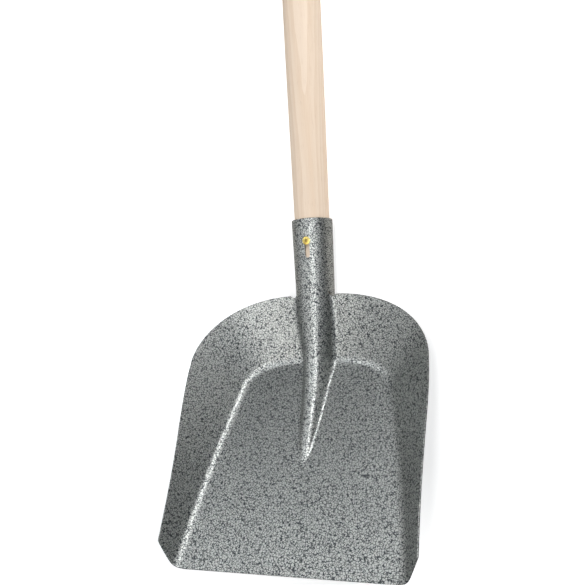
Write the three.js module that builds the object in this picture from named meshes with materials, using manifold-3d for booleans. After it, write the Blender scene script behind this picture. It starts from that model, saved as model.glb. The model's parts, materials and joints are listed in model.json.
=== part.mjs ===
import * as THREE from 'three';
import { mergeVertices } from 'three/addons/utils/BufferGeometryUtils.js';
import Module from 'manifold-3d';

// Grain scoop shovel, in millimetres. The blade frame has x across, y back from the cutting edge
// and z up from the pan floor's upper face. The finished shovel is laid back on its heel and handle end.

const SHEET = 1.5;
const FIT_GAP = 0.35;

// Pan floor outline, where the flat floor turns into the crease.
const FLOOR_FRONT_HALF = 95.5;
const FLOOR_REAR_HALF = 71;
const FLOOR_REAR = 211.5;
const CORNER_DEPTH = 30;
const CORNER_START = FLOOR_REAR - CORNER_DEPTH;
const CORNER_POWER = 2 / 2.7;
const SIDE_BOW = 2.4;

// Pan wall: height above the floor and slope from the floor, front and rear.
const WALL_HEIGHT_FRONT = 19.5;
const WALL_HEIGHT_REAR = 47;
const WALL_HEIGHT_SWELL = 8.5;
const WALL_SLOPE_FRONT = degrees(57);
const WALL_SLOPE_REAR = degrees(46.5);
const CREASE_RADIUS = 13;
const FRONT_SET_BACK = 16;
const FRONT_SET_BACK_CURVE = 1.4;

// Socket: a rolled tube whose axis rises at the lift angle and passes under the rear rim.
const LIFT = degrees(36.5);
const MOUTH_RADIUS = 21;
const SOCKET_TAPER = 0.016;
const MOUTH_BEHIND_FLOOR = 118.5;
const MOUTH_Y = FLOOR_REAR + MOUTH_BEHIND_FLOOR;
const AXIS_UNDER_RIM = 10.25;
const SEAM_ANGLE = degrees(177);
const SEAM_CLOSING = 30;
const SEAM_CURVE = 0.4;
const RIM_CORNER = 3.5;

// Frog: the raised rib that carries the socket down into the floor.
const FROG_LENGTH = 108.5;
const FROG_TIP = FLOOR_REAR - FROG_LENGTH;
const FROG_TIP_SLOPE = 0.22;
const FROG_TIP_RADIUS = 7;
const FROG_REAR_RADIUS = 12.5;
const FROG_JOIN_BEHIND_FLOOR = 17.5;
const FROG_JOIN = FLOOR_REAR + FROG_JOIN_BEHIND_FLOOR;
const FOOT_RADIUS = 6;
const FLANK_ANGLE = degrees(80);

// Slot through the socket's crown and the screw at its upper end.
const SCREW_HEAD_RADIUS = 4;
const SCREW_SHANK_RADIUS = 2;
const SLOT_CLEARANCE = 0.4;
const SLOT_WIDTH = 2 * (SCREW_SHANK_RADIUS + SLOT_CLEARANCE);
const SLOT_START = 19.5;
const SLOT_LENGTH = 20;
const SCREW_BELOW_SLOT_END = 0.7;
const SCREW_STATION = SLOT_START + SLOT_WIDTH / 2 + SCREW_BELOW_SLOT_END;
const SCREW_HEAD_DEPTH = 2.4;
const SCREW_HEAD_RIM = 0.3;
const SCREW_HEAD_CROWN = 0.5;
const SCREW_LENGTH = 24;
const SCREW_POINT_LENGTH = 5;
const PILOT_SPARE_DEPTH = 1;
const RECESS_ARM = 1.9;
const RECESS_WIDTH = 0.9;
const RECESS_DEPTH = 1.3;

// Handle: turned wood, one end seated in the socket.
const HANDLE_LENGTH = 1200;
const HANDLE_SEAT = 90;
const SEAT_CLEARANCE = 0.626;
const HANDLE_GRIP_RADIUS = 20;
const HANDLE_GRIP_START = 300;
const HANDLE_SEAT_TAPER = 26;
const HANDLE_SEAT_NARROWING = 5.35;
const HANDLE_SHOULDER_LENGTH = 8;
const HANDLE_SHOULDER_DROP = 1.2;
const HANDLE_SEAT_CHAMFER = 2;
const HANDLE_END_ROUND = 14;
const SEAT_BORE_RADIUS = MOUTH_RADIUS - SOCKET_TAPER * (HANDLE_SEAT - HANDLE_SEAT_TAPER) - SHEET;
const HANDLE_SOCKET_RADIUS = SEAT_BORE_RADIUS - SEAT_CLEARANCE;
const HANDLE_SEAT_END_RADIUS = HANDLE_SOCKET_RADIUS - HANDLE_SEAT_NARROWING;

const ARCH_POINTS = 6;
const EDGE_POINTS = 7;
const STRIP_POINTS = ARCH_POINTS + EDGE_POINTS;
const FROG_STEPS = 13;
const SOCKET_STEPS = 12;
const CREASE_ROWS = 4;
const WALL_ROWS = 4;
const WALL_COLUMNS = 26;

function degrees(value) {
  return value * Math.PI / 180;
}

function clamp01(value) {
  return Math.min(1, Math.max(0, value));
}

function ease(value) {
  const t = clamp01(value);
  return t * t * (3 - 2 * t);
}

function solve(f, low, high) {
  let a = low;
  let b = high;
  const rising = f(high) > f(low);
  for (let i = 0; i < 50; i += 1) {
    const middle = (a + b) / 2;
    if ((f(middle) < 0) === rising) a = middle;
    else b = middle;
  }
  return (a + b) / 2;
}

// Floor outline on the right side, from the front corner round to the middle of the rear.
function outlinePoint(t) {
  const sideShare = 0.6;
  if (t < sideShare) {
    const k = t / sideShare;
    const across = FLOOR_FRONT_HALF + (FLOOR_REAR_HALF - FLOOR_FRONT_HALF) * k + SIDE_BOW * 4 * k * (1 - k);
    return new THREE.Vector2(across, CORNER_START * k);
  }
  const angle = (t - sideShare) / (1 - sideShare) * Math.PI / 2;
  const across = Math.max(0, Math.cos(angle)) ** CORNER_POWER;
  const back = (FLOOR_REAR - CORNER_START) * Math.sin(angle) ** CORNER_POWER;
  const lean = (FLOOR_REAR_HALF - FLOOR_FRONT_HALF) / CORNER_START;
  return new THREE.Vector2((FLOOR_REAR_HALF + lean * back) * across, CORNER_START + back);
}

function makeOutline() {
  const points = [];
  for (let i = 0; i <= 600; i += 1) points.push(outlinePoint(i / 600));
  const lengths = [0];
  for (let i = 1; i < points.length; i += 1) lengths.push(lengths[i - 1] + points[i].distanceTo(points[i - 1]));
  return { points, lengths, total: lengths[lengths.length - 1] };
}

const OUTLINE = makeOutline();

function outlineAt(u) {
  const goal = clamp01(u) * OUTLINE.total;
  let i = 1;
  while (i < OUTLINE.lengths.length - 1 && OUTLINE.lengths[i] < goal) i += 1;
  const k = (goal - OUTLINE.lengths[i - 1]) / (OUTLINE.lengths[i] - OUTLINE.lengths[i - 1]);
  return OUTLINE.points[i - 1].clone().lerp(OUTLINE.points[i], k);
}

function outlineNormal(u) {
  const step = 0.012;
  const before = outlineAt(Math.max(0, u - step));
  const after = outlineAt(Math.min(1, u + step));
  if (u + step > 1) after.set(-outlineAt(2 - u - step).x, outlineAt(2 - u - step).y);
  const along = after.sub(before).normalize();
  return new THREE.Vector2(along.y, -along.x);
}

// How far the rear of the outline falls forward of its middle, at a distance across.
function rearSag(x) {
  const share = Math.min(0.98, Math.abs(x) / FLOOR_REAR_HALF);
  const back = (1 - share ** (1 / CORNER_POWER * 2)) ** (CORNER_POWER / 2);
  return (FLOOR_REAR - CORNER_START) * (1 - back);
}

// Wall section above one point of the outline: distance outward and height, by row.
function wallProfile(u, row) {
  const slope = WALL_SLOPE_FRONT + (WALL_SLOPE_REAR - WALL_SLOPE_FRONT) * ease(u * 1.5);
  const swell = WALL_HEIGHT_SWELL * 4 * u * (1 - u);
  const height = WALL_HEIGHT_FRONT + (WALL_HEIGHT_REAR - WALL_HEIGHT_FRONT) * ease(u ** 1.3) + swell;
  const turn = slope * Math.min(1, row / CREASE_ROWS);
  const rise = CREASE_RADIUS * (1 - Math.cos(slope));
  const straight = (height - rise) / Math.sin(slope) * Math.max(0, (row - CREASE_ROWS) / WALL_ROWS);
  return {
    out: CREASE_RADIUS * Math.sin(turn) + straight * Math.cos(slope),
    up: CREASE_RADIUS * (1 - Math.cos(turn)) + straight * Math.sin(slope),
  };
}

function wallPoint(u, row) {
  const { out, up } = wallProfile(u, row);
  const base = outlineAt(u).addScaledVector(outlineNormal(u), out);
  return new THREE.Vector3(base.x, base.y, up);
}

const LAST_ROW = CREASE_ROWS + WALL_ROWS;
const RIM_Y = FLOOR_REAR + wallProfile(1, LAST_ROW).out;
const MOUTH_Z = WALL_HEIGHT_REAR - AXIS_UNDER_RIM + (MOUTH_Y - RIM_Y) * Math.tan(LIFT);

// Height of the pan along its middle line, where the frog and socket stand on it.
function baseHeight(y) {
  if (y <= FLOOR_REAR) return 0;
  const row = solve((r) => FLOOR_REAR + wallProfile(1, r).out - y, 0, LAST_ROW);
  return wallProfile(1, row).up;
}

function socketRadius(y) {
  return MOUTH_RADIUS - SOCKET_TAPER * (MOUTH_Y - y) / Math.cos(LIFT);
}

function socketCrown(y) {
  return MOUTH_Z + (y - MOUTH_Y) * Math.tan(LIFT) + socketRadius(y) / Math.cos(LIFT);
}

function archRadius(y) {
  const frog = FROG_TIP_RADIUS + (FROG_REAR_RADIUS - FROG_TIP_RADIUS) * (y - FROG_TIP) / (FLOOR_REAR - FROG_TIP);
  return frog + (socketRadius(y) - frog) * ease((y - FLOOR_REAR) / (RIM_Y - FLOOR_REAR));
}

function crownHeight(y) {
  if (y >= FROG_JOIN) return socketCrown(y);
  const span = FROG_JOIN - FROG_TIP;
  const t = (y - FROG_TIP) / span;
  const ends = (3 - 2 * t) * t * t * socketCrown(FROG_JOIN);
  const start = t * (1 - t) ** 2 * FROG_TIP_SLOPE * span;
  const finish = t * t * (t - 1) * Math.tan(LIFT) * span;
  return ends + start + finish;
}

// One cross-section of the frog or socket: an arch, then its flank and foot or its rolled edge.
function sectionPoints(section) {
  const { radius, height, foot, edge } = section;
  const reach = radius + foot;
  const turn = Math.acos(Math.max(Math.cos(FLANK_ANGLE), (reach - height) / reach));
  const drop = turn < FLANK_ANGLE ? 0 : height - reach * (1 - Math.cos(turn));
  const flank = drop === 0 ? 0 : drop / Math.sin(turn);
  const footX = reach * Math.sin(turn) + flank * Math.cos(turn);
  const archPoint = (angle) => [radius * Math.sin(angle), height - radius * (1 - Math.cos(angle))];
  const points = [];
  for (let j = 0; j <= ARCH_POINTS; j += 1) points.push(archPoint(turn * j / ARCH_POINTS));
  for (let j = 1; j <= EDGE_POINTS; j += 1) {
    const k = j / EDGE_POINTS;
    if (edge.kind === 'seam') {
      points.push(archPoint(turn + (edge.angle - turn) * k));
      continue;
    }
    const along = (flank + foot * turn * (1 - edge.cut)) * k;
    const angle = turn - Math.max(0, along - flank) / foot;
    if (along < flank) {
      const [x, rise] = archPoint(turn);
      points.push([x + along * Math.cos(turn), rise - along * Math.sin(turn)]);
    } else {
      points.push([footX - foot * Math.sin(angle), foot * (1 - Math.cos(angle))]);
    }
  }
  return points;
}

function sectionEdge(y, turnAtRim) {
  const past = y - RIM_Y;
  if (past <= 0) return { kind: 'foot', cut: 0 };
  if (past < RIM_CORNER) {
    const k = 1 - past / RIM_CORNER;
    const keep = 1 - Math.sqrt(1 - k * k);
    return { kind: 'foot', cut: Math.asin(Math.sin(turnAtRim) * (1 - keep)) / turnAtRim };
  }
  const closing = clamp01((past - RIM_CORNER) / SEAM_CLOSING);
  return { kind: 'seam', angle: turnAtRim + (SEAM_ANGLE - turnAtRim) * Math.sin(closing * Math.PI / 2) ** SEAM_CURVE };
}

function stationPoints(y) {
  const stretch = 1 + (1 / Math.cos(LIFT) - 1) * ease((y - FROG_TIP) / (FROG_JOIN - FROG_TIP));
  const radius = archRadius(y);
  const crown = crownHeight(y);
  const rimStand = (crownHeight(RIM_Y) - baseHeight(RIM_Y)) * Math.cos(LIFT);
  const height = y > RIM_Y ? rimStand : (crown - baseHeight(y)) / stretch;
  const reach = archRadius(RIM_Y) + FOOT_RADIUS;
  const turnAtRim = Math.acos((reach - rimStand) / reach);
  const edge = sectionEdge(y, turnAtRim);
  const points = sectionPoints({ radius, height, foot: FOOT_RADIUS, edge });
  const bend = clamp01((y - FROG_TIP) / (FLOOR_REAR - FROG_TIP)) * (1 - clamp01((y - RIM_Y) / 30));
  const tilt = clamp01((y - RIM_Y) / (MOUTH_Y - RIM_Y));
  return points.map(([x, rise]) => {
    const above = (rise - height + radius) * stretch;
    const slide = -tilt * above * Math.sin(LIFT);
    const z = crown + (rise - height) * stretch + slide * Math.sin(LIFT);
    return new THREE.Vector3(x, y - rearSag(x) * bend + slide * Math.cos(LIFT), z);
  });
}

function stationList() {
  const list = [];
  for (let i = 0; i < FROG_STEPS; i += 1) list.push(FROG_TIP + (FLOOR_REAR - FROG_TIP) * (i / FROG_STEPS) ** 1.25);
  for (let row = 0; row <= LAST_ROW; row += 1) list.push(FLOOR_REAR + wallProfile(1, row).out);
  for (let i = 1; i <= 3; i += 1) list.push(RIM_Y + RIM_CORNER * (1 - Math.cos(i / 3 * Math.PI / 2)));
  const start = RIM_Y + RIM_CORNER;
  for (let i = 1; i <= SOCKET_STEPS; i += 1) list.push(start + (MOUTH_Y - start) * (i / SOCKET_STEPS) ** 1.5);
  return list;
}

function collectSurface() {
  const positions = [];
  const triangle = (a, b, c) => positions.push(a.x, a.y, a.z, b.x, b.y, b.z, c.x, c.y, c.z);
  const mirror = (p) => new THREE.Vector3(-p.x, p.y, p.z);
  const both = (a, b, c) => {
    triangle(a, b, c);
    triangle(mirror(a), mirror(c), mirror(b));
  };
  return { positions, triangle, both, mirror };
}

function addGrid(surface, grid) {
  for (let i = 1; i < grid.length; i += 1) {
    for (let j = 1; j < grid[i].length; j += 1) {
      surface.both(grid[i - 1][j - 1], grid[i - 1][j], grid[i][j]);
      surface.both(grid[i - 1][j - 1], grid[i][j], grid[i][j - 1]);
    }
  }
}

function wallColumns(row, footPoint) {
  const fullHeight = wallProfile(0, LAST_ROW).up;
  const setBack = FRONT_SET_BACK * (wallProfile(0, row).up / fullHeight) ** FRONT_SET_BACK_CURVE;
  const first = row === 0 ? 0 : solve((u) => wallPoint(u, row).y - setBack, 0, 0.3);
  const last = solve((u) => footPoint.x - wallPoint(u, row).x, 0.6, 1);
  const columns = [];
  for (let j = 0; j <= WALL_COLUMNS; j += 1) {
    const k = j / WALL_COLUMNS;
    const spread = k + 0.12 * Math.sin(2 * Math.PI * k);
    columns.push(wallPoint(first + (last - first) * spread, row));
  }
  columns[WALL_COLUMNS] = footPoint;
  return columns;
}

function bladeFace() {
  const surface = collectSurface();
  const stations = stationList().map(stationPoints);
  const rearStart = FROG_STEPS;
  addGrid(surface, stations);
  const wall = [];
  for (let row = 0; row <= LAST_ROW; row += 1) wall.push(wallColumns(row, stations[rearStart + row][STRIP_POINTS]));
  addGrid(surface, wall.map((points) => points.toReversed()));
  const right = wall[0].slice(0, -1);
  const foot = stations.slice(0, rearStart + 1).map((points) => points[STRIP_POINTS]);
  const half = right.concat(foot.reverse());
  const loop = half.concat(half.slice(0, -1).reverse().map(surface.mirror));
  const flat = loop.map((p) => new THREE.Vector2(p.x, p.y));
  for (const [a, b, c] of THREE.ShapeUtils.triangulateShape(flat, [])) {
    const points = [loop[a], loop[b], loop[c]];
    const side = points[1].clone().sub(points[0]).cross(points[2].clone().sub(points[0])).z;
    if (side > 0) surface.triangle(points[0], points[1], points[2]);
    else surface.triangle(points[0], points[2], points[1]);
  }
  return surface.positions;
}

function weld(positions) {
  const geometry = new THREE.BufferGeometry();
  geometry.setAttribute('position', new THREE.Float32BufferAttribute(positions, 3));
  const welded = mergeVertices(geometry, 1e-3);
  const index = welded.getIndex().array;
  const points = [];
  for (let i = 0; i < welded.attributes.position.count; i += 1) {
    points.push(new THREE.Vector3().fromBufferAttribute(welded.attributes.position, i));
  }
  const faces = [];
  for (let i = 0; i < index.length; i += 3) {
    const [a, b, c] = [index[i], index[i + 1], index[i + 2]];
    if (a !== b && b !== c && a !== c) faces.push([a, b, c]);
  }
  return { points, faces };
}

function cornerNormals(points, faces) {
  const normals = points.map(() => new THREE.Vector3());
  for (const face of faces) {
    for (let k = 0; k < 3; k += 1) {
      const here = points[face[k]];
      const first = points[face[(k + 1) % 3]].clone().sub(here);
      const second = points[face[(k + 2) % 3]].clone().sub(here);
      const angle = first.angleTo(second);
      normals[face[k]].addScaledVector(first.cross(second).normalize(), angle);
    }
  }
  normals.forEach((normal, i) => {
    if (Math.abs(points[i].z) < 1e-3) normal.set(0, 0, 1);
    else normal.normalize();
  });
  return normals;
}

// Gives the pressed face its sheet thickness and closes the cut edges.
function thicken(positions) {
  const { points, faces } = weld(positions);
  const normals = cornerNormals(points, faces);
  const count = points.length;
  const under = points.map((p, i) => p.clone().addScaledVector(normals[i], -SHEET));
  const index = [];
  const open = new Map();
  for (const [a, b, c] of faces) {
    index.push(a, b, c, a + count, c + count, b + count);
    for (const [p, q] of [[a, b], [b, c], [c, a]]) {
      if (open.has(`${q},${p}`)) open.delete(`${q},${p}`);
      else open.set(`${p},${q}`, [p, q]);
    }
  }
  for (const [p, q] of open.values()) index.push(q, p, p + count, q, p + count, q + count);
  const geometry = new THREE.BufferGeometry();
  const flat = points.concat(under).flatMap((p) => [p.x, p.y, p.z]);
  geometry.setAttribute('position', new THREE.Float32BufferAttribute(flat, 3));
  geometry.setIndex(index);
  return geometry;
}

const wasm = await Module();
wasm.setup();

function toSolid(geometry) {
  const bare = new THREE.BufferGeometry();
  bare.setAttribute('position', geometry.getAttribute('position'));
  if (geometry.getIndex()) bare.setIndex(geometry.getIndex());
  const welded = mergeVertices(bare, 1e-4);
  const triVerts = [];
  const index = welded.getIndex().array;
  for (let i = 0; i < index.length; i += 3) {
    const [a, b, c] = [index[i], index[i + 1], index[i + 2]];
    if (a !== b && b !== c && a !== c) triVerts.push(a, b, c);
  }
  const vertProperties = new Float32Array(welded.attributes.position.array);
  return new wasm.Manifold(new wasm.Mesh({ numProp: 3, vertProperties, triVerts: new Uint32Array(triVerts) }));
}

function toGeometry(solid) {
  const mesh = solid.getMesh();
  const geometry = new THREE.BufferGeometry();
  geometry.setAttribute('position', new THREE.BufferAttribute(new Float32Array(mesh.vertProperties), 3));
  geometry.setIndex(new THREE.BufferAttribute(new Uint32Array(mesh.triVerts), 1));
  return geometry;
}

// Socket frame: origin at the mouth's centre, x across, y out along the axis, z out through the crown.
function socketFrame() {
  const frame = new THREE.Matrix4().makeRotationX(LIFT);
  frame.setPosition(0, MOUTH_Y, MOUTH_Z);
  return frame;
}

function slotCutter() {
  const half = SLOT_WIDTH / 2;
  const shape = new THREE.Shape();
  shape.moveTo(half, -SLOT_START - half);
  shape.absarc(0, -SLOT_START - half, half, 0, Math.PI, false);
  shape.lineTo(-half, -SLOT_START - SLOT_LENGTH + half);
  shape.absarc(0, -SLOT_START - SLOT_LENGTH + half, half, Math.PI, 2 * Math.PI, false);
  shape.closePath();
  const cutter = new THREE.ExtrudeGeometry(shape, { depth: MOUTH_RADIUS, bevelEnabled: false, curveSegments: 8 });
  cutter.translate(0, 0, MOUTH_RADIUS / 2);
  return cutter.applyMatrix4(socketFrame());
}

function makeBlade() {
  return toGeometry(toSolid(thicken(bladeFace())).subtract(toSolid(slotCutter())));
}

// Handle profile about the socket axis, from the seated end to the rounded grip end.
function handleProfile() {
  const inner = -HANDLE_SEAT;
  const outer = HANDLE_LENGTH - HANDLE_SEAT;
  const shoulder = inner + HANDLE_SEAT_TAPER;
  const profile = [
    new THREE.Vector2(0, inner),
    new THREE.Vector2(HANDLE_SEAT_END_RADIUS - HANDLE_SEAT_CHAMFER, inner),
    new THREE.Vector2(HANDLE_SEAT_END_RADIUS, inner + HANDLE_SEAT_CHAMFER),
    new THREE.Vector2(HANDLE_SOCKET_RADIUS - HANDLE_SHOULDER_DROP, shoulder - HANDLE_SHOULDER_LENGTH),
    new THREE.Vector2(HANDLE_SOCKET_RADIUS, shoulder),
  ];
  for (let i = 0; i <= 8; i += 1) {
    const radius = HANDLE_SOCKET_RADIUS + (HANDLE_GRIP_RADIUS - HANDLE_SOCKET_RADIUS) * Math.sin(i / 8 * Math.PI / 2);
    profile.push(new THREE.Vector2(radius, HANDLE_GRIP_START * i / 8));
  }
  for (let i = 0; i <= 6; i += 1) {
    const angle = i / 6 * Math.PI / 2;
    const radius = HANDLE_GRIP_RADIUS - HANDLE_END_ROUND * (1 - Math.cos(angle));
    profile.push(new THREE.Vector2(radius, outer - HANDLE_END_ROUND * (1 - Math.sin(angle))));
  }
  profile.push(new THREE.Vector2(0, outer));
  return profile;
}

function screwProfile() {
  const tip = -SCREW_LENGTH;
  return [
    new THREE.Vector2(0, tip),
    new THREE.Vector2(SCREW_SHANK_RADIUS, tip + SCREW_POINT_LENGTH),
    new THREE.Vector2(SCREW_SHANK_RADIUS, -SCREW_HEAD_DEPTH),
    new THREE.Vector2(SCREW_HEAD_RADIUS, -SCREW_HEAD_RIM),
    new THREE.Vector2(SCREW_HEAD_RADIUS, 0),
    new THREE.Vector2(SCREW_HEAD_RADIUS * 0.6, SCREW_HEAD_CROWN * 0.75),
    new THREE.Vector2(0, SCREW_HEAD_CROWN),
  ];
}

// The head stands where its cone just clears the slot's sides.
function screwHeadHeight() {
  const seat = socketRadius(MOUTH_Y - SCREW_STATION * Math.cos(LIFT));
  const grip = SLOT_WIDTH / 2 - FIT_GAP;
  const coneShare = (SCREW_HEAD_RADIUS - grip) / (SCREW_HEAD_RADIUS - SCREW_SHANK_RADIUS);
  const cone = coneShare * (SCREW_HEAD_DEPTH - SCREW_HEAD_RIM);
  return Math.sqrt(seat * seat - SLOT_WIDTH * SLOT_WIDTH / 4) + cone + SCREW_HEAD_RIM;
}

function standUp(geometry, y, z) {
  return geometry.rotateX(Math.PI / 2).translate(0, y, z).applyMatrix4(socketFrame());
}

function makeScrew() {
  const body = standUp(new THREE.LatheGeometry(screwProfile(), 28), -SCREW_STATION, screwHeadHeight());
  let solid = toSolid(body);
  for (const turn of [0, Math.PI / 2]) {
    const bar = new THREE.BoxGeometry(2 * RECESS_ARM, RECESS_WIDTH, 2 * RECESS_DEPTH).rotateZ(turn + Math.PI / 4);
    bar.translate(0, -SCREW_STATION, screwHeadHeight() + SCREW_HEAD_RIM).applyMatrix4(socketFrame());
    solid = solid.subtract(toSolid(bar));
  }
  return toGeometry(solid);
}

function makeHandle() {
  const wood = new THREE.LatheGeometry(handleProfile(), 36).applyMatrix4(socketFrame());
  const depth = SCREW_LENGTH + PILOT_SPARE_DEPTH;
  const pilot = new THREE.CylinderGeometry(SCREW_SHANK_RADIUS + FIT_GAP, SCREW_SHANK_RADIUS + FIT_GAP, depth, 20);
  standUp(pilot, -SCREW_STATION, screwHeadHeight() - depth / 2);
  return toGeometry(toSolid(wood).subtract(toSolid(pilot)));
}

function lowest(geometry, tilt) {
  const p = geometry.getAttribute('position');
  let low = Infinity;
  for (let i = 0; i < p.count; i += 1) low = Math.min(low, p.getY(i) * Math.sin(tilt) + p.getZ(i) * Math.cos(tilt));
  return low;
}

// Lays the shovel back until the blade's heel and the handle's end are level, then centres it.
function layDown(geometries) {
  const [blade, handle] = geometries;
  const tilt = solve((angle) => lowest(handle, angle) - lowest(blade, angle), -degrees(45), -degrees(20));
  const box = new THREE.Box3();
  for (const geometry of geometries) {
    geometry.rotateX(tilt);
    geometry.computeBoundingBox();
    box.union(geometry.boundingBox);
  }
  const middle = box.getCenter(new THREE.Vector3());
  for (const geometry of geometries) geometry.translate(-middle.x, -middle.y, -box.min.z);
}

function addPiece(group, name, geometry, material) {
  geometry.computeVertexNormals();
  const mesh = new THREE.Mesh(geometry, new THREE.MeshStandardMaterial(material));
  mesh.name = name;
  group.add(mesh);
}

const blade = makeBlade();
const handle = makeHandle();
const screw = makeScrew();
layDown([blade, handle, screw]);

const group = new THREE.Group();
group.name = 'grain_scoop_shovel';
addPiece(group, 'scoop_blade', blade, { color: 0x8f9596, roughness: 0.42, metalness: 0.55 });
addPiece(group, 'handle', handle, { color: 0xe6c9a6, roughness: 0.6, metalness: 0 });
addPiece(group, 'handle_screw', screw, { color: 0xc9a54a, roughness: 0.35, metalness: 0.9 });

export default group;
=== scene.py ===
import json
import math

import bpy
import numpy as np
from mathutils import Matrix, Vector


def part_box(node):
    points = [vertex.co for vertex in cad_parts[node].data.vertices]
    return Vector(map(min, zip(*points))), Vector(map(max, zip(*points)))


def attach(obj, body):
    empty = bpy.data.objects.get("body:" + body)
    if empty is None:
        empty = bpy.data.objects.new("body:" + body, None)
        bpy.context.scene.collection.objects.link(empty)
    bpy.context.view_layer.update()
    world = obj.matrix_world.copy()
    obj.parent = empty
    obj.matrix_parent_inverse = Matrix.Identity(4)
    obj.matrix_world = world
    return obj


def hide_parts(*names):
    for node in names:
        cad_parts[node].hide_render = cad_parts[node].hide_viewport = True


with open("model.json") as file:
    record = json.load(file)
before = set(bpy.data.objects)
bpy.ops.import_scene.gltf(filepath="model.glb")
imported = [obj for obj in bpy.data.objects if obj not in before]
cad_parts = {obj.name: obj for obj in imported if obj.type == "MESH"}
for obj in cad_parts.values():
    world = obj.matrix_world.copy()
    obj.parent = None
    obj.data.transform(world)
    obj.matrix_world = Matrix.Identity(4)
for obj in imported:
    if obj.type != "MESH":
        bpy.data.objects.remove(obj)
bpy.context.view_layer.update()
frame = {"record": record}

MM = 0.001

# All sizes are in millimetres. The pan's own frame has x across, y back from the cutting edge and z up
# from the floor's upper face.
SHEET = 1.5
EDGE_BULGE = 0.4
FIT_GAP = 0.35

# Floor outline, where the flat floor turns into the crease.
FLOOR_FRONT_HALF = 95.5
FLOOR_REAR_HALF = 71
FLOOR_REAR = 211.5
CORNER_DEPTH = 30
CORNER_START = FLOOR_REAR - CORNER_DEPTH
CORNER_POWER = 2 / 2.7
SIDE_BOW = 2.4
SAG_SHARE_LIMIT = 0.98
SAG_FADE = 30

# Wall: height above the floor and slope from the floor, front and rear.
WALL_HEIGHT_FRONT = 19.5
WALL_HEIGHT_REAR = 47
WALL_HEIGHT_SWELL = 8.5
WALL_HEIGHT_CURVE = 1.3
WALL_SLOPE_FRONT = math.radians(57)
WALL_SLOPE_REAR = math.radians(46.5)
WALL_SLOPE_CHANGE = 1.5
CREASE_RADIUS = 13
FRONT_SET_BACK = 16
FRONT_SET_BACK_CURVE = 1.4

# Socket: a rolled tube whose axis rises at the lift angle and passes under the rear rim.
LIFT = math.radians(36.5)
MOUTH_RADIUS = 21
SOCKET_TAPER = 0.016
MOUTH_BEHIND_FLOOR = 118.5
MOUTH_Y = FLOOR_REAR + MOUTH_BEHIND_FLOOR
AXIS_UNDER_RIM = 10.25
SEAM_ANGLE = math.radians(177)
SEAM_CLOSING = 30
SEAM_CURVE = 0.4
RIM_CORNER = 3.5

# Frog: the raised rib that carries the socket down into the floor.
FROG_LENGTH = 108.5
FROG_TIP = FLOOR_REAR - FROG_LENGTH
FROG_TIP_SLOPE = 0.22
FROG_TIP_RADIUS = 7
FROG_REAR_RADIUS = 12.5
FROG_JOIN_BEHIND_FLOOR = 17.5
FROG_JOIN = FLOOR_REAR + FROG_JOIN_BEHIND_FLOOR
FOOT_RADIUS = 6
FLANK_ANGLE = math.radians(80)

# Slot through the socket's crown and the screw at its upper end.
SCREW_HEAD_RADIUS = 4
SCREW_SHANK_RADIUS = 2
SLOT_CLEARANCE = 0.4
SLOT_WIDTH = 2 * (SCREW_SHANK_RADIUS + SLOT_CLEARANCE)
SLOT_START = 19.5
SLOT_LENGTH = 20
SCREW_BELOW_SLOT_END = 0.7
SCREW_STATION = SLOT_START + SLOT_WIDTH / 2 + SCREW_BELOW_SLOT_END
SCREW_HEAD_DEPTH = 2.4
SCREW_HEAD_RIM = 0.3
SCREW_HEAD_CROWN = 0.5
SCREW_RIM_ROUND = 0.08
SCREW_SHOULDER_SHARE = 0.985
SCREW_LENGTH = 24
SCREW_POINT_LENGTH = 5
SCREW_TURNED = math.radians(38)
PILOT_SPARE_DEPTH = 1
THREAD_PITCH = 1.8
THREAD_DEPTH = 0.55
THREAD_START = 2
THREAD_RUN_IN = 2
THREAD_POINT_SHARE = 0.4
RECESS_ARM = 1.75
RECESS_HALF_WIDTH = 0.42
RECESS_TAPER = 0.55
RECESS_DEPTH = 1.5
TICK_INNER = 0.3
TICK_OUTER = 2.3
TICK_HALF_WIDTH = 0.09
TICK_FLOOR = 0.16
ABOVE_HEAD = 1.0

# Handle: turned wood, one end seated in the socket.
HANDLE_LENGTH = 1200
HANDLE_SEAT = 90
SEAT_CLEARANCE = 0.626
HANDLE_GRIP_RADIUS = 20
HANDLE_GRIP_START = 300
HANDLE_SEAT_TAPER = 26
HANDLE_SEAT_NARROWING = 5.35
HANDLE_SHOULDER_LENGTH = 8
HANDLE_SHOULDER_DROP = 1.2
HANDLE_SEAT_CHAMFER = 2
HANDLE_END_ROUND = 14
SEAT_BORE_RADIUS = MOUTH_RADIUS - SOCKET_TAPER * (HANDLE_SEAT - HANDLE_SEAT_TAPER) - SHEET
HANDLE_SOCKET_RADIUS = SEAT_BORE_RADIUS - SEAT_CLEARANCE
HANDLE_SEAT_END_RADIUS = HANDLE_SOCKET_RADIUS - HANDLE_SEAT_NARROWING

# Mesh density, and how the cross-sections crowd towards the frog's tip and the rim.
ARCH_POINTS = 18
EDGE_POINTS = 18
CREASE_ROWS = 12
WALL_ROWS = 14
FROG_STEPS = 64
CENTRE_STEPS = 40
SOCKET_STEPS = 48
CORNER_STEPS = 6
EDGE_STEPS = 4
SLOT_END_STEPS = 12
SCREW_SIDES = 48
HANDLE_SIDES = 96
FROG_CROWDING = 1.25
SOCKET_CROWDING = 1.5
FLOOR_ROWS = (0, 0.004, 0.012, 0.03, 0.07, 0.14, 0.24, 0.36, 0.5, 0.64, 0.76, 0.86, 0.93, 0.97, 0.99, 1)

# Camera, about a point on the pan's middle line.
VIEW_TARGET = (0, 227, 99.2)
VIEW_DISTANCE = 673.3
VIEW_AZIMUTH = math.radians(29.18)
VIEW_ELEVATION = math.radians(47.02)
VIEW_ROLL = math.radians(-25.8)
VIEW_LENS = 44.47
VIEW_SENSOR = 36

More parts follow.
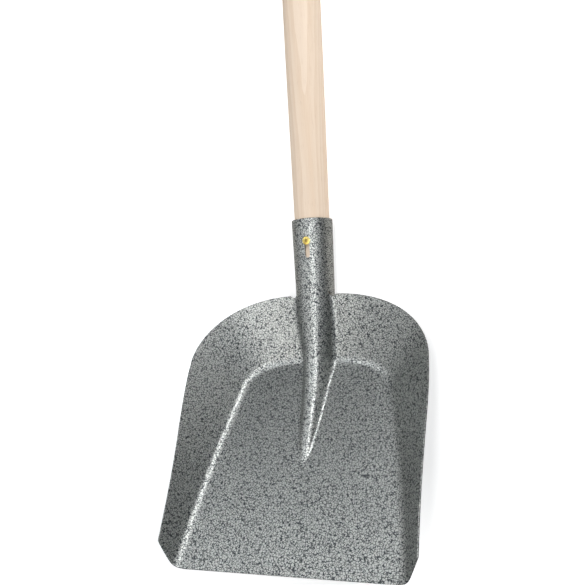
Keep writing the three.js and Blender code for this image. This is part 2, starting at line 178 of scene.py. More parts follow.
# Studio. Directions are in the pan's frame, floor distances and the other lengths are in metres.
LIGHTS_AIM = (0, 190, 20)
NEUTRAL = (1, 1, 1)
LIGHTS = (
    # name, direction, distance, size, power, colour
    ("key", (0.44, 0.22, 0.82), 1.5, (0.24, 1.3), 13.0, NEUTRAL),
    ("fill", (-0.14, -0.8, 0.58), 1.6, (0.8, 0.6), 4.6, (1.0, 0.98, 0.95)),
    ("top", (-0.33, 0.0, 0.94), 1.8, (1.0, 0.3), 4.6, (0.95, 0.98, 1.0)),
    ("left", (-0.78, -0.2, 0.60), 1.5, (1.5, 1.4), 5.0, NEUTRAL),
    ("ridge", (0.14, -0.50, 0.85), 1.5, (0.12, 0.6), 4.8, NEUTRAL),
)
STUDIO_TONES = (
    (0.0, (0.04, 0.04, 0.038, 1)),
    (0.45, (0.095, 0.1, 0.11, 1)),
    (1.0, (0.275, 0.295, 0.315, 1)),
)
FLOOR_HALF = 4.0
FLOOR_DROP = 0.0006
FLOOR_UNDER_PAN = (0.0, -0.55, 0.0)


def ease(value):
    """Runs from 0 to 1 with level ends."""
    t = np.clip(value, 0, 1)
    return t * t * (3 - 2 * t)


def make_outline():
    """The floor's outline on the right side, and how far along it each point is, from 0 to 1."""
    k = np.linspace(0, 1, 500)
    across = FLOOR_FRONT_HALF + (FLOOR_REAR_HALF - FLOOR_FRONT_HALF) * k + SIDE_BOW * 4 * k * (1 - k)
    side = np.column_stack([across, CORNER_START * k])
    angle = np.linspace(0, math.pi / 2, 500)[1:]
    reach = np.clip(np.cos(angle), 0, 1) ** CORNER_POWER
    back = (FLOOR_REAR - CORNER_START) * np.sin(angle) ** CORNER_POWER
    lean = (FLOOR_REAR_HALF - FLOOR_FRONT_HALF) / CORNER_START
    corner = np.column_stack([(FLOOR_REAR_HALF + lean * back) * reach, CORNER_START + back])
    points = np.vstack([side, corner])
    along = np.concatenate([[0], np.cumsum(np.linalg.norm(np.diff(points, axis=0), axis=1))])
    return points, along / along[-1]


OUTLINE, OUTLINE_ALONG = make_outline()


def outline_at(u):
    """Points of the outline; past 1 it goes on along the left side."""
    u = np.asarray(u, float)
    inside = np.where(u > 1, 2 - u, u)
    x = np.interp(inside, OUTLINE_ALONG, OUTLINE[:, 0])
    y = np.interp(inside, OUTLINE_ALONG, OUTLINE[:, 1])
    return np.stack([np.where(u > 1, -x, x), y], -1)


def outline_normal(u):
    step = 0.012
    along = outline_at(np.asarray(u) + step) - outline_at(np.maximum(0, np.asarray(u) - step))
    along /= np.linalg.norm(along, axis=-1, keepdims=True)
    return np.stack([along[..., 1], -along[..., 0]], -1)


def rear_sag(x):
    """How far the rear of the outline falls forward of its middle, at a distance across."""
    share = np.minimum(SAG_SHARE_LIMIT, np.abs(x) / FLOOR_REAR_HALF)
    return (FLOOR_REAR - CORNER_START) * (1 - (1 - share ** (2 / CORNER_POWER)) ** (CORNER_POWER / 2))


def wall_profile(u, row):
    """Distance outward and height of a row of the wall, above the outline at u."""
    u = np.asarray(u, float)
    slope = WALL_SLOPE_FRONT + (WALL_SLOPE_REAR - WALL_SLOPE_FRONT) * ease(u * WALL_SLOPE_CHANGE)
    swell = WALL_HEIGHT_SWELL * 4 * u * (1 - u)
    growth = ease(u ** WALL_HEIGHT_CURVE)
    height = WALL_HEIGHT_FRONT + (WALL_HEIGHT_REAR - WALL_HEIGHT_FRONT) * growth + swell
    turn = slope * min(1, row / CREASE_ROWS)
    rise = CREASE_RADIUS * (1 - np.cos(slope))
    straight = (height - rise) / np.sin(slope) * max(0, (row - CREASE_ROWS) / WALL_ROWS)
    out = CREASE_RADIUS * np.sin(turn) + straight * np.cos(slope)
    up = CREASE_RADIUS * (1 - np.cos(turn)) + straight * np.sin(slope)
    return out, up


def wall_points(u, row):
    out, up = wall_profile(u, row)
    base = outline_at(u) + outline_normal(u) * out[..., None]
    return np.concatenate([base, up[..., None]], -1)


LAST_ROW = CREASE_ROWS + WALL_ROWS
REAR_ROWS = [wall_profile(1, row) for row in range(LAST_ROW + 1)]
REAR_OUT = np.array([float(out) for out, up in REAR_ROWS])
REAR_UP = np.array([float(up) for out, up in REAR_ROWS])
RIM_Y = FLOOR_REAR + REAR_OUT[-1]
MOUTH_Z = WALL_HEIGHT_REAR - AXIS_UNDER_RIM + (MOUTH_Y - RIM_Y) * math.tan(LIFT)


def base_height(y):
    """Height of the pan along its middle line, where the frog and socket stand on it."""
    return float(np.interp(y - FLOOR_REAR, REAR_OUT, REAR_UP))


def socket_radius(y):
    return MOUTH_RADIUS - SOCKET_TAPER * (MOUTH_Y - y) / math.cos(LIFT)


def socket_crown(y):
    return MOUTH_Z + (y - MOUTH_Y) * math.tan(LIFT) + socket_radius(y) / math.cos(LIFT)


def arch_radius(y):
    share = (y - FROG_TIP) / (FLOOR_REAR - FROG_TIP)
    frog = FROG_TIP_RADIUS + (FROG_REAR_RADIUS - FROG_TIP_RADIUS) * share
    return frog + (socket_radius(y) - frog) * float(ease((y - FLOOR_REAR) / (RIM_Y - FLOOR_REAR)))


def crown_height(y):
    if y >= FROG_JOIN:
        return socket_crown(y)
    span = FROG_JOIN - FROG_TIP
    t = (y - FROG_TIP) / span
    ends = (3 - 2 * t) * t * t * socket_crown(FROG_JOIN)
    start = t * (1 - t) ** 2 * FROG_TIP_SLOPE * span
    finish = t * t * (t - 1) * math.tan(LIFT) * span
    return ends + start + finish


RIM_STAND = (crown_height(RIM_Y) - base_height(RIM_Y)) * math.cos(LIFT)
RIM_REACH = arch_radius(RIM_Y) + FOOT_RADIUS
RIM_TURN = math.acos((RIM_REACH - RIM_STAND) / RIM_REACH)


def section_edge(y):
    """Below the rim a section ends in its foot; past the rim the foot fades and the tube closes."""
    past = y - RIM_Y
    if past < RIM_CORNER:
        k = 1 - max(0, past) / RIM_CORNER
        keep = 1 - math.sqrt(1 - k * k)
        cut = math.asin(math.sin(RIM_TURN) * (1 - keep)) / RIM_TURN
        return "foot", cut if past > 0 else 0
    closing = min(1, (past - RIM_CORNER) / SEAM_CLOSING)
    return "seam", RIM_TURN + (SEAM_ANGLE - RIM_TURN) * math.sin(closing * math.pi / 2) ** SEAM_CURVE


def section_points(radius, height, edge):
    """Half of one cross-section: an arch, then its flank and foot, or its rolled edge."""
    reach = radius + FOOT_RADIUS
    turn = math.acos(max(math.cos(FLANK_ANGLE), (reach - height) / reach))
    drop = height - reach * (1 - math.cos(turn)) if turn >= FLANK_ANGLE else 0
    flank = drop / math.sin(turn) if drop else 0
    foot_x = reach * math.sin(turn) + flank * math.cos(turn)

    def arch_point(angle):
        return radius * math.sin(angle), height - radius * (1 - math.cos(angle))

    points = [arch_point(turn * j / ARCH_POINTS) for j in range(ARCH_POINTS + 1)]
    kind, value = edge
    for j in range(1, EDGE_POINTS + 1):
        k = j / EDGE_POINTS
        if kind == "seam":
            points.append(arch_point(turn + (value - turn) * k))
            continue
        along = (flank + FOOT_RADIUS * turn * (1 - value)) * k
        if along < flank:
            x, rise = arch_point(turn)
            points.append((x + along * math.cos(turn), rise - along * math.sin(turn)))
        else:
            angle = turn - (along - flank) / FOOT_RADIUS
            points.append((foot_x - FOOT_RADIUS * math.sin(angle), FOOT_RADIUS * (1 - math.cos(angle))))
    return np.array(points)


def station_points(y):
    """One cross-section of the frog or socket, in place on the pan."""
    stretch = 1 + (1 / math.cos(LIFT) - 1) * float(ease((y - FROG_TIP) / (FROG_JOIN - FROG_TIP)))
    radius = arch_radius(y)
    crown = crown_height(y)
    height = RIM_STAND if y > RIM_Y else (crown - base_height(y)) / stretch
    x, rise = section_points(radius, height, section_edge(y)).T
    fade = 1 - np.clip((y - RIM_Y) / SAG_FADE, 0, 1)
    bend = np.clip((y - FROG_TIP) / (FLOOR_REAR - FROG_TIP), 0, 1) * fade
    tilt = np.clip((y - RIM_Y) / (MOUTH_Y - RIM_Y), 0, 1)
    slide = -tilt * (rise - height + radius) * stretch * math.sin(LIFT)
    z = crown + (rise - height) * stretch + slide * math.sin(LIFT)
    return np.column_stack([x, y - rear_sag(x) * bend + slide * math.cos(LIFT), z])


def station_list():
    """Where the cross-sections stand, from the frog's tip to the mouth."""
    frog = FROG_TIP + (FLOOR_REAR - FROG_TIP) * (np.arange(FROG_STEPS) / FROG_STEPS) ** FROG_CROWDING
    turn = np.arange(1, CORNER_STEPS + 1) / CORNER_STEPS * math.pi / 2
    corner = RIM_Y + RIM_CORNER * (1 - np.cos(turn))
    start = RIM_Y + RIM_CORNER
    tube = start + (MOUTH_Y - start) * (np.arange(1, SOCKET_STEPS + 1) / SOCKET_STEPS) ** SOCKET_CROWDING
    return np.concatenate([frog, FLOOR_REAR + REAR_OUT, corner, tube])


def wall_row(row, foot):
    """One row of the wall, from the front edge round to the socket's foot."""
    u = np.linspace(0, 1, 2001)
    points = wall_points(u, row)
    front = slice(0, 600)
    rear = slice(None, 1199, -1)
    rise = float(wall_profile(0, row)[1]) / float(wall_profile(0, LAST_ROW)[1])
    set_back = FRONT_SET_BACK * rise ** FRONT_SET_BACK_CURVE
    first = float(np.interp(set_back, points[front, 1], u[front])) if row else 0.0
    last = float(np.interp(foot[0], points[rear, 0], u[rear]))
    columns = wall_points(np.linspace(first, last, CENTRE_STEPS + FROG_STEPS + 1), row)
    columns[-1] = foot
    return columns


class Skin:
    """Points and faces, where equal points are one point."""

    def __init__(self):
        self.seen = {}
        self.points = []
        self.faces = []

    def corner(self, point):
        key = tuple(round(float(c), 4) + 0.0 for c in point)
        if key not in self.seen:
            self.seen[key] = len(self.points)
            self.points.append(key)
        return self.seen[key]

    def face(self, corners):
        kept = [c for i, c in enumerate(corners) if c != corners[i - 1]]
        if len(set(kept)) == len(kept) > 2:
            self.faces.append(kept)

    def grid(self, rows, mirror=False):
        for side in ((1, -1) if mirror else (1,)):
            numbers = [[self.corner((side * p[0], p[1], p[2])) for p in row] for row in rows]
            for before, after in zip(numbers, numbers[1:]):
                for j in range(1, len(before)):
                    quad = [before[j - 1], before[j], after[j], after[j - 1]]
                    self.face(quad if side > 0 else quad[::-1])

    def mesh(self, name):
        mesh = bpy.data.meshes.new(name)
        mesh.from_pydata(self.points, [], self.faces)
        mesh.update()
        return mesh


def pan_face():
    """The upper face of the whole pressing: frog and socket, walls, and floor."""
    skin = Skin()
    stations = [station_points(y) for y in station_list()]
    skin.grid(stations, mirror=True)
    walls = [wall_row(row, stations[FROG_STEPS + row][-1]) for row in range(LAST_ROW + 1)]
    skin.grid([wall[::-1] for wall in walls], mirror=True)
    middle = np.linspace((0, 0, 0), (0, FROG_TIP, 0), CENTRE_STEPS + 1)[:-1]
    inner = np.vstack([middle, [station[-1] for station in stations[:FROG_STEPS + 1]]])
    rows = [walls[0] + (inner - walls[0]) * k for k in FLOOR_ROWS]
    rows[-1] = inner
    skin.grid(rows, mirror=True)
    return skin


def thicken(skin, name):
    """Gives the face its sheet thickness and a slightly rounded cut edge all round."""
    face = skin.mesh(name + "_face")
    points = np.array(skin.points)
    normals = np.zeros(len(points) * 3, np.float32)
    face.vertex_normals.foreach_get("vector", normals)
    normals = normals.reshape(-1, 3).astype(float)
    normals[np.abs(points[:, 2]) < 1e-3] = (0, 0, 1)
    bpy.data.meshes.remove(face)

    edges = {}
    for corners in skin.faces:
        for a, b in zip(corners, corners[1:] + corners[:1]):
            if (b, a) in edges:
                del edges[(b, a)]
            else:
                edges[(a, b)] = True
    outward = {}
    for a, b in edges:
        side = np.cross(points[b] - points[a], normals[a])
        for end in (a, b):
            outward[end] = outward.get(end, 0) + side / np.linalg.norm(side)

    count = len(points)
    all_points = list(points) + list(points - normals * SHEET)
    faces = list(skin.faces) + [[c + count for c in corners[::-1]] for corners in skin.faces]
    rings = {}
    for v, direction in outward.items():
        direction = direction / np.linalg.norm(direction)
        ring = [v]
        for i in range(1, EDGE_STEPS):
            angle = math.pi * i / EDGE_STEPS
            depth = SHEET * (1 - math.cos(angle)) / 2
            all_points.append(points[v] - normals[v] * depth + direction * EDGE_BULGE * math.sin(angle))
            ring.append(len(all_points) - 1)
        rings[v] = ring + [v + count]
    for a, b in edges:
        for i in range(EDGE_STEPS):
            faces.append([rings[b][i], rings[a][i], rings[a][i + 1], rings[b][i + 1]])
    mesh = bpy.data.meshes.new(name)
    mesh.from_pydata([tuple(p) for p in all_points], [], faces)
    return mesh


def lathe(profile, segments, radius_change=None):
    """A solid turned about the y axis from (radius, y) points that start and end on the axis."""
    skin = Skin()
    angles = np.linspace(0, 2 * math.pi, segments + 1)
    angles[-1] = 0
    rows = []
    for radius, y in profile:
        r = np.full(segments + 1, float(radius))
        if radius_change is not None and radius > 0:
            r = r + radius_change(angles, y)
        rows.append(np.column_stack([r * np.sin(angles), np.full(segments + 1, y), r * np.cos(angles)]))
    skin.grid(rows)
    return skin


def add_object(name, mesh, matrix, sharp=math.radians(35)):
    """Puts a mesh in place in the row frame; its attribute "local" keeps its own coordinates, in metres."""
    mesh.transform(Matrix.Scale(MM, 4))
    own = np.zeros(len(mesh.vertices) * 3, np.float32)
    mesh.vertices.foreach_get("co", own)
    mesh.attributes.new("local", "FLOAT_VECTOR", "POINT").data.foreach_set("vector", own)
    mesh.transform(matrix)
    mesh.polygons.foreach_set("use_smooth", [True] * len(mesh.polygons))
    mesh.set_sharp_from_angle(angle=sharp)
    mesh.name = name
    piece = bpy.data.objects.new(name, mesh)
    bpy.context.scene.collection.objects.link(piece)
    return piece


def cut(mesh, cutters):
    """mesh with the cutter meshes taken out of it, all in the same frame."""
    host = bpy.data.objects.new("cut_host", mesh)
    bpy.context.scene.collection.objects.link(host)
    tools = []
    for cutter in cutters:
        tool = bpy.data.objects.new("cut_tool", cutter)
        bpy.context.scene.collection.objects.link(tool)
        modifier = host.modifiers.new("cut", "BOOLEAN")
        modifier.operation = "DIFFERENCE"
        modifier.solver = "EXACT"
        modifier.object = tool
        tools.append(tool)
    bpy.context.view_layer.update()
    graph = bpy.context.evaluated_depsgraph_get()
    result = bpy.data.meshes.new_from_object(host.evaluated_get(graph))
    for item in [host] + tools:
        old = item.data
        bpy.data.objects.remove(item)
        bpy.data.meshes.remove(old)
    return result


def prism(outline, low, high, grow=0.0):
    """A solid from an outline in x and y, between two heights; grow widens its upper end."""
    outline = np.asarray(outline, float)
    middle = outline.mean(0)
    top = middle + (outline - middle) * (1 + grow)
    count = len(outline)
    points = [(x, y, low) for x, y in outline] + [(x, y, high) for x, y in top]
    faces = [list(range(count))[::-1], list(range(count, 2 * count))]
    for i in range(count):
        j = (i + 1) % count
        faces.append([i, j, j + count, i + count])
    mesh = bpy.data.meshes.new("prism")
    mesh.from_pydata(points, [], faces)
    return mesh


SOCKET_FRAME = Matrix.Translation((0, MOUTH_Y, MOUTH_Z)) @ Matrix.Rotation(LIFT, 4, "X")


def make_blade():
    """The whole pressing, with the slot cut through the socket's crown."""
    half = SLOT_WIDTH / 2
    turn = np.linspace(0, math.pi, SLOT_END_STEPS + 1)
    near = np.column_stack([half * np.cos(turn), half * np.sin(turn) - SLOT_START - half])
    far = np.column_stack([-half * np.cos(turn), -half * np.sin(turn) - SLOT_START - SLOT_LENGTH + half])
    slot = prism(np.vstack([near, far]), MOUTH_RADIUS / 2, MOUTH_RADIUS * 1.5)
    slot.transform(SOCKET_FRAME)
    return cut(thicken(pan_face(), "blade"), [slot])


def screw_head_height():
    """How far the head's flat top stands from the socket's axis: its cone just clears the slot's sides."""
    seat = socket_radius(MOUTH_Y - SCREW_STATION * math.cos(LIFT))
    grip = SLOT_WIDTH / 2 - FIT_GAP
    cone_share = (SCREW_HEAD_RADIUS - grip) / (SCREW_HEAD_RADIUS - SCREW_SHANK_RADIUS)
    cone = cone_share * (SCREW_HEAD_DEPTH - SCREW_HEAD_RIM)
    return math.sqrt(seat * seat - SLOT_WIDTH * SLOT_WIDTH / 4) + cone + SCREW_HEAD_RIM


def handle_profile():
    """From the seated end to the rounded grip end, as (radius, y) about the socket's axis."""
    inner = -HANDLE_SEAT
    outer = HANDLE_LENGTH - HANDLE_SEAT
    shoulder = inner + HANDLE_SEAT_TAPER
    end_radius = HANDLE_SEAT_END_RADIUS - HANDLE_SEAT_CHAMFER
    profile = [(0, inner), (end_radius, inner)]
    for i in range(1, 5):
        angle = i / 4 * math.pi / 2
        radius = end_radius + HANDLE_SEAT_CHAMFER * math.sin(angle)
        profile.append((radius, inner + HANDLE_SEAT_CHAMFER * (1 - math.cos(angle))))
    profile.append((HANDLE_SOCKET_RADIUS - HANDLE_SHOULDER_DROP, shoulder - HANDLE_SHOULDER_LENGTH))
    for y in np.linspace(shoulder, 0, 12)[:-1]:
        profile.append((HANDLE_SOCKET_RADIUS, y))
    swell = HANDLE_GRIP_RADIUS - HANDLE_SOCKET_RADIUS
    for k in np.linspace(0, 1, 31):
        profile.append((HANDLE_SOCKET_RADIUS + swell * math.sin(k * math.pi / 2), HANDLE_GRIP_START * k))
    for y in np.linspace(HANDLE_GRIP_START, outer - HANDLE_END_ROUND, 50)[1:]:
        profile.append((HANDLE_GRIP_RADIUS, y))
    for i in range(1, 11):
        angle = i / 10 * math.pi / 2
        radius = HANDLE_GRIP_RADIUS - HANDLE_END_ROUND * (1 - math.cos(angle))
        profile.append((radius, outer - HANDLE_END_ROUND * (1 - math.sin(angle))))
    profile.append((0, outer))
    return profile


def make_handle():
    """The turned stick with the screw's pilot hole in it."""
    wood = lathe(handle_profile(), HANDLE_SIDES).mesh("handle")
    depth = SCREW_LENGTH + PILOT_SPARE_DEPTH
    hole = SCREW_SHANK_RADIUS + FIT_GAP
    turn = np.linspace(0, 2 * math.pi, 25)[:-1]
    circle = np.column_stack([hole * np.cos(turn), hole * np.sin(turn) - SCREW_STATION])
    top = screw_head_height()
    return cut(wood, [prism(circle, top - depth, top)])


def thread(angles, y):
    """Radius change of the screw's thread, which starts under the head and thins out over the point."""
    phase = (y / THREAD_PITCH + angles / (2 * math.pi)) % 1
    ridge = np.clip(1 - np.abs(phase - 0.5) * 4, 0, 1)
    run = float(ease((-SCREW_HEAD_DEPTH - THREAD_START - y) / THREAD_RUN_IN))
    depth = THREAD_DEPTH if y > SCREW_POINT_LENGTH - SCREW_LENGTH else THREAD_DEPTH * THREAD_POINT_SHARE
    return depth * (ridge - 1) * run


def screw_profile():
    """From the point to the top of the head, as (radius, y), with the head's flat top at 0."""
    tip = -SCREW_LENGTH
    shank = tip + SCREW_POINT_LENGTH
    profile = [(0, tip)]
    for y in np.linspace(tip, shank, 12)[1:]:
        profile.append((SCREW_SHANK_RADIUS * (y - tip) / SCREW_POINT_LENGTH, y))
    for y in np.linspace(shank, -SCREW_HEAD_DEPTH, 70)[1:]:
        profile.append((SCREW_SHANK_RADIUS, y))
    profile.append((SCREW_HEAD_RADIUS - SCREW_RIM_ROUND, -SCREW_HEAD_RIM - SCREW_RIM_ROUND))
    profile.append((SCREW_HEAD_RADIUS, -SCREW_HEAD_RIM + SCREW_RIM_ROUND / 2))
    profile.append((SCREW_HEAD_RADIUS, -SCREW_RIM_ROUND))
    profile.append((SCREW_HEAD_RADIUS * SCREW_SHOULDER_SHARE, 0))
    for k in np.linspace(1, 0, 9)[1:]:
        profile.append((SCREW_HEAD_RADIUS * k, SCREW_HEAD_CROWN * (1 - k * k)))
    return profile


def make_screw():
    """The wood screw: turned body, tapered cross recess and four ticks between the recess's arms."""
    mesh = lathe(screw_profile(), SCREW_SIDES, thread).mesh("screw")
    mesh.transform(Matrix.Rotation(math.pi / 2, 4, "X"))
    quarters = [Matrix.Rotation(i * math.pi / 2, 4, "Z") for i in range(4)]
    half = RECESS_HALF_WIDTH
    arm = [(RECESS_ARM, -half), (RECESS_ARM, half), (half, half)]
    cross = np.array([(quarter @ Vector((x, y, 0)))[:2] for quarter in quarters for x, y in arm])
    cutters = [prism(cross * RECESS_TAPER, -RECESS_DEPTH, ABOVE_HEAD, grow=1.0)]
    tick_outline = [
        (TICK_INNER, -TICK_HALF_WIDTH),
        (TICK_OUTER, -TICK_HALF_WIDTH),
        (TICK_OUTER, TICK_HALF_WIDTH),
        (TICK_INNER, TICK_HALF_WIDTH),
    ]
    for quarter in quarters:
        tick = prism(tick_outline, TICK_FLOOR, ABOVE_HEAD)
        tick.transform(quarter @ Matrix.Rotation(math.pi / 4, 4, "Z"))
        cutters.append(tick)
    mesh = cut(mesh, cutters)
    mesh.transform(Matrix.Rotation(SCREW_TURNED, 4, "Z"))
    mesh.transform(Matrix.Translation((0, -SCREW_STATION, screw_head_height())))
    return mesh


def rest_frame(handle_mesh):
    """Where the pan's own frame lies in the row frame: the tilt from the mount, the place from the handle."""
    axis = frame["record"]["mounts"][0]["axis"]
    tilt = Matrix.Rotation(math.atan2(-axis[1], -axis[2]), 4, "X").inverted()
    turned = tilt @ Matrix.Scale(MM, 4) @ SOCKET_FRAME
    corners = np.array([turned @ v.co for v in handle_mesh.vertices])
    low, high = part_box("handle")
    return Matrix.Translation((0, high.y - corners[:, 1].max(), low.z - corners[:, 2].min())) @ tilt


# ---------------------------------------------------------------- materials


class Nodes:
    """Short calls for building the node tree of a material or the world."""

    def __init__(self, holder, output="OutputMaterial"):
        holder.use_nodes = True
        self.tree = holder.node_tree
        self.tree.nodes.clear()
        self.output = self.add(output)

    def add(self, kind, inputs=None, **settings):
        node = self.tree.nodes.new("ShaderNode" + kind)
        for key, value in settings.items():
            setattr(node, key, value)
        for key, value in (inputs or {}).items():
            self.set(node.inputs[key], value)
        return node

    def set(self, socket, value):
        if isinstance(value, bpy.types.NodeSocket):
            self.tree.links.new(value, socket)
        elif isinstance(value, bpy.types.Node):
            self.tree.links.new(value.outputs[0], socket)
        else:
            socket.default_value = value

    def local(self):
        return self.add("Attribute", attribute_name="local").outputs["Vector"]

    def math(self, operation, a, b=0.0):
        return self.add("Math", {0: a, 1: b}, operation=operation).outputs[0]

    def vector(self, operation, a, b):
        return self.add("VectorMath", {0: a, 1: b}, operation=operation).outputs["Vector"]

    def distance(self, a, b):
        return self.add("VectorMath", {0: a, 1: b}, operation="DISTANCE").outputs["Value"]

    def mapping(self, vector, scale):
        return self.add("Mapping", {"Vector": vector, "Scale": scale}).outputs[0]

    def noise(self, vector, scale, detail=2.0, roughness=0.5):
        inputs = {"Vector": vector, "Scale": scale, "Detail": detail, "Roughness": roughness}
        return self.add("TexNoise", inputs).outputs

    def grey_noise(self, vector, scale, detail=2.0, roughness=0.5):
        return self.noise(vector, scale, detail, roughness)[0]

    def range(self, value, low, high, to_low=0.0, to_high=1.0, smooth=False):
        inputs = {0: value, 1: low, 2: high, 3: to_low, 4: to_high}
        kind = "SMOOTHSTEP" if smooth else "LINEAR"
        return self.add("MapRange", inputs, interpolation_type=kind).outputs[0]

    def mix(self, share, a, b):
        node = self.add("Mix", data_type="RGBA")
        self.set(node.inputs[0], share)
        self.set(node.inputs[6], a)
        self.set(node.inputs[7], b)
        return node.outputs[2]


def hammered_paint():
    """Silver hammer paint: light metallic cells in a dark, broken network of fine lines."""
    material = bpy.data.materials.new("hammered_paint")
    n = Nodes(material)
    cells_per_metre = 475.0
    drift_reach = 0.0032
    line_dark = (0.035, 0.04, 0.045, 1)
    cell_low = (0.46, 0.475, 0.46, 1)
    cell_high = (0.62, 0.635, 0.61, 1)
    worn = (0.30, 0.32, 0.32, 1)

    place = n.local()
    drift = n.vector("SUBTRACT", n.noise(place, 330, 2.0)["Color"], (0.5, 0.5, 0.5))
    drift = n.vector("MULTIPLY", drift, (drift_reach, drift_reach, drift_reach))
    cells = n.add("TexVoronoi", {"Vector": n.vector("ADD", place, drift), "Scale": cells_per_metre},
                  feature="DISTANCE_TO_EDGE").outputs["Distance"]
    width = n.range(n.grey_noise(place, 420, 1.0), 0.3, 0.7, -0.01, 0.09)
    lit = n.range(n.math("SUBTRACT", cells, width), -0.01, 0.12, smooth=True)
    fleck = n.range(n.grey_noise(place, 900, 2.0), 0.32, 0.68, 0.0, 1.0)
    paint = n.mix(lit, line_dark, n.mix(fleck, cell_low, cell_high))
    patch = n.range(n.grey_noise(place, 26, 2.0), 0.3, 0.7, 0.0, 0.1)
    paint = n.mix(patch, paint, worn)
    height = n.math("ADD", lit, n.math("MULTIPLY", n.grey_noise(place, 160, 1.0), 0.6))
    bump = n.add("Bump", {"Strength": 0.5, "Distance": 0.0001, "Height": height}).outputs[0]
    shader = n.add("BsdfPrincipled", {
        "Base Color": paint,
        "Metallic": n.range(lit, 0, 1, 0.75, 0.97),
        "Roughness": n.range(lit, 0, 1, 0.46, 0.41),
        "Normal": bump,
    })
    n.set(n.output.inputs["Surface"], shader)
    return material


def birch():
    """Turned birch: pale growth layers cut lengthwise, fine fibres and pores, a few warmer streaks."""
    material = bpy.data.materials.new("birch")
    n = Nodes(material)
    layers_per_metre = 330.0
    heart_depth = 0.034
    heart_lean = 0.012
    heart_wander = (0.012, 0.0, 0.012)
    early = (0.77, 0.62, 0.485, 1)
    late = (0.705, 0.54, 0.395, 1)
    fibre_pale = (0.80, 0.67, 0.54, 1)
    streak_warm = (0.70, 0.49, 0.315, 1)
    pore_dark = (0.50, 0.34, 0.215, 1)

    place = n.local()
    wander = n.noise(n.mapping(place, (30, 3.2, 30)), 1.0, 3.0)["Color"]
    shifted = n.vector("ADD", place, n.vector("MULTIPLY", wander, heart_wander))
    parts = n.add("SeparateXYZ", {0: shifted}).outputs
    across = n.math("ADD", parts[0], n.math("MULTIPLY", parts[1], heart_lean))
    depth = n.math("ADD", parts[2], heart_depth)
    ring = n.math("SQRT", n.math("ADD", n.math("POWER", across, 2.0), n.math("POWER", depth, 2.0)))
    layer = n.range(n.math("FRACT", n.math("MULTIPLY", ring, layers_per_metre)), 0.0, 1.0, smooth=True)
    fibre = n.grey_noise(n.mapping(place, (1500, 26, 1500)), 1.0, 3.0, 0.6)
    pore = n.range(n.grey_noise(n.mapping(place, (2600, 90, 2600)), 1.0, 1.0), 0.66, 0.76)
    streak = n.range(n.grey_noise(n.mapping(place, (70, 2.2, 70)), 1.0, 2.0), 0.5, 0.72, smooth=True)
    wood = n.mix(layer, early, late)
    wood = n.mix(n.range(fibre, 0.35, 0.7, 0.0, 0.5), wood, fibre_pale)
    wood = n.mix(n.math("MULTIPLY", streak, 0.55), wood, streak_warm)
    wood = n.mix(n.math("MULTIPLY", pore, 0.45), wood, pore_dark)
    height = n.math("SUBTRACT", n.math("MULTIPLY", fibre, 0.6), n.math("MULTIPLY", pore, 0.8))
    bump = n.add("Bump", {"Strength": 0.35, "Distance": 0.0002, "Height": height}).outputs[0]
    shader = n.add("BsdfPrincipled", {
        "Base Color": wood,
        "Roughness": n.range(fibre, 0.3, 0.7, 0.5, 0.62),
        "Normal": bump,
        "Coat Weight": 0.12,
        "Coat Roughness": 0.35,
    })
    n.set(n.output.inputs["Surface"], shader)
    return material


def yellow_zinc():
    """Yellow passivated zinc plating with the usual faint green and pink bloom."""
    material = bpy.data.materials.new("yellow_zinc")
    n = Nodes(material)
    gold = (0.62, 0.44, 0.10, 1)
    green_bloom = (0.70, 0.60, 0.22, 1)
    pink_bloom = (0.60, 0.40, 0.24, 1)

    place = n.local()
    bloom = n.grey_noise(place, 420, 3.0)
    grain = n.grey_noise(place, 5200, 2.0)
    plate = n.mix(n.range(bloom, 0.35, 0.65), gold, green_bloom)
    plate = n.mix(n.range(bloom, 0.55, 0.8, 0.0, 0.4), plate, pink_bloom)
    bump = n.add("Bump", {"Strength": 0.25, "Distance": 0.00003, "Height": grain}).outputs[0]
    shader = n.add("BsdfPrincipled", {
        "Base Color": plate,
        "Metallic": 0.9,
        "Roughness": n.range(grain, 0.3, 0.7, 0.24, 0.4),
        "Normal": bump,
    })
    n.set(n.output.inputs["Surface"], shader)
    return material


# ---------------------------------------------------------------- stage, light and camera


def floor_paper():
    """White paper with its own faint light; in gloss it shows only as a warm glow under the pan."""
    material = bpy.data.materials.new("floor_paper")
    n = Nodes(material)
    place = n.add("TexCoord").outputs["Object"]
    tone = n.mix(n.grey_noise(place, 900, 2.0), (0.93, 0.93, 0.93, 1), (0.95, 0.95, 0.95, 1))
    away = n.distance(place, FLOOR_UNDER_PAN)
    lift = n.range(away, 0.9, 3.2, 0.42, 1.0, smooth=True)
    paper = n.add("AddShader", {
        0: n.add("BsdfDiffuse", {"Color": tone}),
        1: n.add("Emission", {"Color": (1, 1, 1, 1), "Strength": lift}),
    })
    glow = n.range(away, 0.26, 0.46, 0.7, 0.03, smooth=True)
    in_gloss = n.add("Emission", {"Color": (0.96, 0.93, 0.88, 1), "Strength": glow})
    ray = n.add("LightPath").outputs
    shader = n.add("MixShader", {0: ray["Is Glossy Ray"], 1: paper, 2: in_gloss})
    n.set(n.output.inputs["Surface"], shader)
    return material


def make_floor():
    mesh = bpy.data.meshes.new("floor")
    corners = [(x * FLOOR_HALF, y * FLOOR_HALF, -FLOOR_DROP) for x, y in ((-1, -1), (1, -1), (1, 1), (-1, 1))]
    mesh.from_pydata(corners, [], [[0, 1, 2, 3]])
    mesh.materials.append(floor_paper())
    floor = bpy.data.objects.new("floor", mesh)
    bpy.context.scene.collection.objects.link(floor)


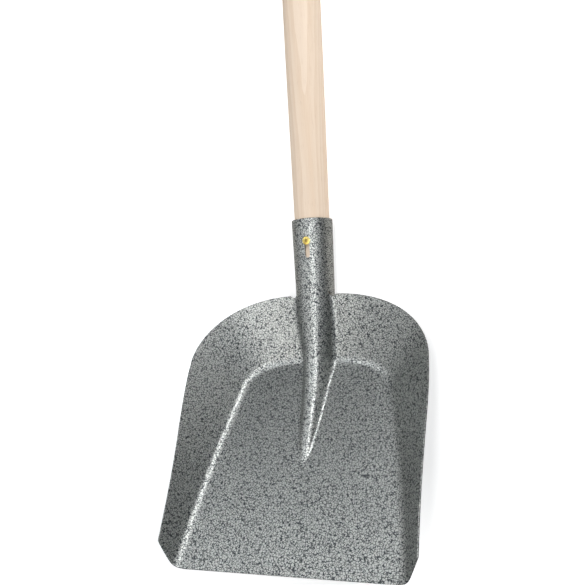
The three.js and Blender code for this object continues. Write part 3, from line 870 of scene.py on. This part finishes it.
def make_world():
    """An even pale backdrop, and for reflections a studio that is dark low down and lighter overhead."""
    world = bpy.data.worlds.new("studio")
    n = Nodes(world, "OutputWorld")
    up = n.add("SeparateXYZ", {0: n.add("TexCoord").outputs["Generated"]}).outputs[2]
    ramp = n.add("ValToRGB", {0: up})
    stops = ramp.color_ramp.elements
    stops.new(STUDIO_TONES[1][0])
    for stop, (position, tone) in zip(stops, STUDIO_TONES):
        stop.position = position
        stop.color = tone
    studio = n.add("Background", {"Color": ramp, "Strength": 1.0})
    backdrop = n.add("Background", {"Color": (1, 1, 1, 1), "Strength": 1.0})
    ray = n.add("LightPath").outputs
    shader = n.add("MixShader", {0: ray["Is Camera Ray"], 1: studio, 2: backdrop})
    n.set(n.output.inputs["Surface"], shader)
    bpy.context.scene.world = world


def softbox(pan, name, direction, distance, size, power, colour):
    """An area light aimed at the pan, placed by a direction in the pan's own frame."""
    light = bpy.data.lights.new(name, "AREA")
    light.shape = "RECTANGLE"
    light.size, light.size_y = size
    light.energy = power
    light.color = colour
    lamp = bpy.data.objects.new(name, light)
    bpy.context.scene.collection.objects.link(lamp)
    target = pan @ (Vector(LIGHTS_AIM) * MM)
    toward = (pan.to_3x3() @ Vector(direction)).normalized()
    along = pan.to_3x3() @ Vector((0, 1, 0))
    side = along.cross(toward).normalized()
    up = toward.cross(side)
    turn = Matrix((side, up, toward)).transposed().to_4x4()
    lamp.matrix_world = Matrix.Translation(target + toward * distance) @ turn


def make_camera(pan):
    """The camera, turned round the point that it looks at and then carried with the pan."""
    data = bpy.data.cameras.new("camera")
    data.lens = VIEW_LENS
    data.sensor_width = VIEW_SENSOR
    camera = bpy.data.objects.new("camera", data)
    bpy.context.scene.collection.objects.link(camera)
    level = Matrix.Rotation(VIEW_AZIMUTH, 4, "Z") @ Matrix.Rotation(math.pi / 2 - VIEW_ELEVATION, 4, "X")
    turn = level @ Matrix.Rotation(VIEW_ROLL, 4, "Z")
    back = turn.to_3x3() @ Vector((0, 0, 1))
    place = Matrix.Translation((Vector(VIEW_TARGET) + back * VIEW_DISTANCE) * MM) @ turn
    camera.matrix_world = pan @ place
    bpy.context.scene.camera = camera


# ---------------------------------------------------------------- the shovel

blade_mesh = make_blade()
handle_mesh = make_handle()
screw_mesh = make_screw()
PAN = rest_frame(handle_mesh)
SOCKET = PAN @ Matrix.Translation((0, MOUTH_Y * MM, MOUTH_Z * MM)) @ Matrix.Rotation(LIFT, 4, "X")

for piece, finish, node, slot in (
    (add_object("pan_and_socket", blade_mesh, PAN), hammered_paint(), "scoop_blade", "hammered_paint"),
    (add_object("wood_handle", handle_mesh, SOCKET), birch(), "handle", "birch"),
    (add_object("socket_screw", screw_mesh, SOCKET), yellow_zinc(), "handle_screw", "yellow_zinc"),
):
    piece.data.materials.clear()
    piece.data.materials.append(finish)
    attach(piece, "root")
    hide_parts(node)

make_floor()
make_world()
make_camera(PAN)
for light in LIGHTS:
    softbox(PAN, *light)
bpy.context.scene.view_settings.view_transform = "Standard"
